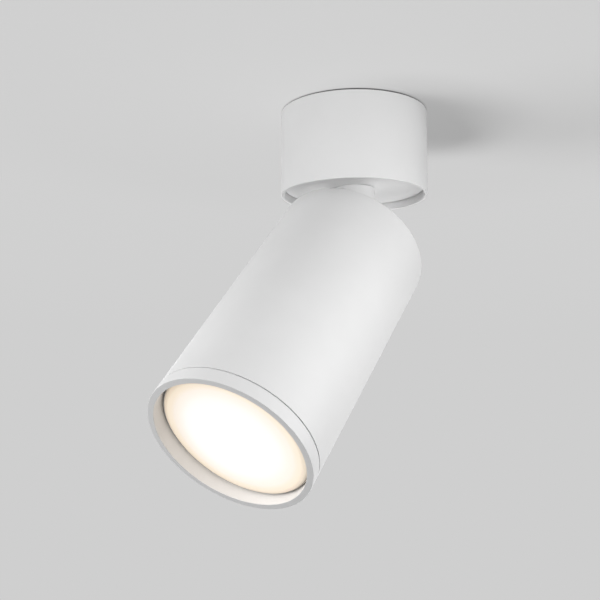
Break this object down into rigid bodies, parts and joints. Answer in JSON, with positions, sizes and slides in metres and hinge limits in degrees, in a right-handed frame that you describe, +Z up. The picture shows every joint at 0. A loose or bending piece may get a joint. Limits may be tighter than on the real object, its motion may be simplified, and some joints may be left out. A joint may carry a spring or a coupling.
{
  "type": "surface mounted ceiling spotlight",
  "caption": "Ceiling spotlight with a cylindrical canopy, a turning stem and a tilting cylindrical head that holds a reflector lamp behind a trim ring.",
  "frame": {"origin": "centre of the ceiling bracket's upper face, on the ceiling plane", "axes": "+Z up into the ceiling along the swivel axis, the head leans towards -Y at rest, its hinge runs along X"},
  "size_m": [0.0556, 0.1211, 0.1443],
  "materials": {
    "white_coat": "matte white powder coat",
    "zinc_steel": "zinc plated",
    "brass": "plain",
    "black_rubber": "matte",
    "terminal_plastic": "matte",
    "bearing_plastic": "matte",
    "lamp_plastic": "satin white",
    "frosted_lens": "frosted, lit from behind",
    "bare_aluminium": "milled",
    "white_board": "white solder mask",
    "green_board": "green solder mask",
    "led_phosphor": "phosphor",
    "ceramic": "glazed ceramic"
  },
  "bodies": {
    "canopy": {"ceiling_bracket": "zinc_steel", "cable_bush": "black_rubber", "terminal_block": "terminal_plastic", "terminal_screws": "brass", "terminal_fixing_screw": "zinc_steel", "earth_washer": "brass", "earth_screw": "brass", "canopy_shell": "white_coat", "canopy_lock_screw": "zinc_steel", "canopy_plate": "white_coat", "canopy_plate_screws": "zinc_steel", "swivel_bush": "bearing_plastic", "swivel_spring_washer": "zinc_steel", "swivel_stop_pin": "zinc_steel"},
    "swivel": {"swivel_stem": "white_coat", "swivel_stop_washer": "zinc_steel", "swivel_nut": "brass"},
    "head": {"tilt_yoke": "white_coat", "tilt_yoke_screws": "zinc_steel", "pivot_screw": "zinc_steel", "pivot_nut": "zinc_steel", "pivot_washers": "bearing_plastic", "head_tube": "white_coat", "rear_cap": "white_coat", "rear_cap_screws": "zinc_steel", "lead_grommet": "black_rubber", "front_ring": "white_coat", "lamp_diffuser": "frosted_lens", "lamp_body": "lamp_plastic", "lamp_heat_plate": "bare_aluminium", "lamp_led_board": "white_board", "lamp_leds": "led_phosphor", "lamp_driver_board": "green_board", "lamp_base": "lamp_plastic", "lamp_pins": "zinc_steel", "lamp_holder": "ceramic", "lamp_holder_screws": "zinc_steel", "holder_bracket": "zinc_steel", "holder_bracket_screws": "zinc_steel"}
  },
  "joints": [
    {"name": "pan", "type": "hinge", "parent": "canopy", "child": "swivel", "pos_m": [0, 0, -0.0298], "axis": [0, 0, 1], "range_deg": [-165, 165]},
    {"name": "tilt", "type": "hinge", "parent": "swivel", "child": "head", "pos_m": [0, 0, -0.0507], "axis": [1, 0, 0], "range_deg": [-10, 100]}
  ]
}
